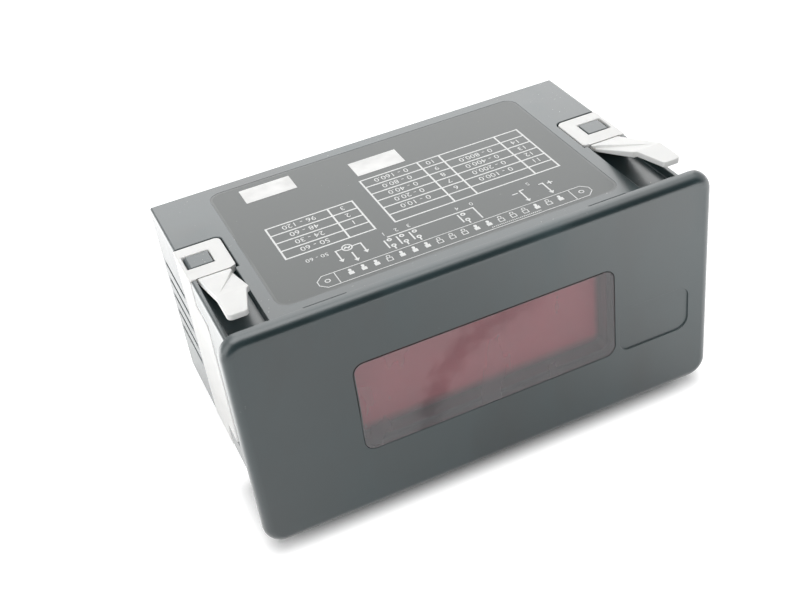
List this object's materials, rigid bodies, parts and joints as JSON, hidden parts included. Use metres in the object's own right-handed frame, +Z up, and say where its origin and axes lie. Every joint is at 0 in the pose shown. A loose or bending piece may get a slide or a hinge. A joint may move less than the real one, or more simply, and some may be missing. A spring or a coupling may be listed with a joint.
{
  "type": "digital panel meter",
  "caption": "Rectangular front-panel instrument with a smoked display window, a plug-in screw terminal block at the rear and a sprung snap-in bracket on each side.",
  "frame": {"origin": "centre of the bezel on the panel's front plane, where the bezel's rear flange seats", "axes": "+X to the right seen from the front, +Y to the rear through the panel, +Z up"},
  "size_m": [0.096, 0.0678, 0.0512],
  "materials": {
    "bezel_plastic": "fine satin moulding, dark grey",
    "window_plastic": "clear smoked sheet, polished",
    "red_filter": "translucent red film",
    "case_plastic": "smooth moulded, dark grey",
    "label_film": "satin printed film",
    "bracket_plastic": "natural white moulding",
    "digit_housing": "grey cast face",
    "digit_epoxy": "red tinted epoxy, unlit",
    "circuit_board": "green solder mask",
    "zinc_steel": "bright zinc plated",
    "pin_strip": "black moulding with tinned pins",
    "chip_epoxy": "black moulded package",
    "core_steel": "varnished laminations",
    "bobbin_plastic": "natural nylon",
    "coil_wire": "enamelled copper under clear tape",
    "can_sleeve": "aluminium can in a dark blue sleeve",
    "power_plastic": "black moulded package",
    "resistor_coat": "beige lacquer",
    "film_coat": "red-brown dip coating",
    "terminal_plastic": "green moulding",
    "contact_brass": "tin-bright brass"
  },
  "bodies": {
    "housing": {"front_bezel": "bezel_plastic", "display_window": "window_plastic", "red_filter": "red_filter", "case_shell": "case_plastic", "top_label": "label_film", "left_bracket": "bracket_plastic", "right_bracket": "bracket_plastic", "led_digit_1": "digit_housing", "led_digit_2": "digit_housing", "led_digit_3": "digit_housing", "led_digit_4": "digit_housing", "digit_segments": "digit_epoxy", "display_board": "circuit_board", "display_board_screws": "zinc_steel", "board_link": "pin_strip", "main_board": "circuit_board", "converter_chip": "chip_epoxy", "transformer_core": "core_steel", "transformer_bobbin": "bobbin_plastic", "transformer_coil": "coil_wire", "smoothing_capacitor": "can_sleeve", "filter_capacitor": "can_sleeve", "bridge_rectifier": "power_plastic", "voltage_regulator": "power_plastic", "input_resistors": "resistor_coat", "film_capacitors": "film_coat", "terminal_header": "terminal_plastic", "header_pins": "contact_brass", "header_nuts": "contact_brass"},
    "left_upper_tongue": {"left_upper_tongue": "bracket_plastic"},
    "left_lower_tongue": {"left_lower_tongue": "bracket_plastic"},
    "right_upper_tongue": {"right_upper_tongue": "bracket_plastic"},
    "right_lower_tongue": {"right_lower_tongue": "bracket_plastic"},
    "plug": {"terminal_plug": "terminal_plastic", "terminal_clamps": "contact_brass", "terminal_screws": "zinc_steel"},
    "left_flange_screw": {"left_flange_screw": "zinc_steel"},
    "right_flange_screw": {"right_flange_screw": "zinc_steel"}
  },
  "joints": [
    {"name": "left_upper_tongue_press", "type": "hinge", "parent": "housing", "child": "left_upper_tongue", "pos_m": [-0.04115, 0.024, 0.01955], "axis": [1, 0, 0], "range_deg": [0, 12], "stiffness_Nm_per_rad": 0.6},
    {"name": "left_lower_tongue_press", "type": "hinge", "parent": "housing", "child": "left_lower_tongue", "pos_m": [-0.04115, 0.024, -0.01955], "axis": [-1, 0, 0], "range_deg": [0, 12], "stiffness_Nm_per_rad": 0.6},
    {"name": "right_upper_tongue_press", "type": "hinge", "parent": "housing", "child": "right_upper_tongue", "pos_m": [0.04115, 0.024, 0.01955], "axis": [1, 0, 0], "range_deg": [0, 12], "stiffness_Nm_per_rad": 0.6},
    {"name": "right_lower_tongue_press", "type": "hinge", "parent": "housing", "child": "right_lower_tongue", "pos_m": [0.04115, 0.024, -0.01955], "axis": [-1, 0, 0], "range_deg": [0, 12], "stiffness_Nm_per_rad": 0.6},
    {"name": "plug_pull", "type": "slide", "parent": "housing", "child": "plug", "axis": [0, 1, 0], "range_m": [0, 0.008]},
    {"name": "left_flange_screw_turn", "type": "hinge", "parent": "plug", "child": "left_flange_screw", "pos_m": [-0.03699, 0.06, -0.0074], "axis": [0, -1, 0], "continuous": true},
    {"name": "right_flange_screw_turn", "type": "hinge", "parent": "plug", "child": "right_flange_screw", "pos_m": [0.03699, 0.06, -0.0074], "axis": [0, -1, 0], "continuous": true}
  ]
}
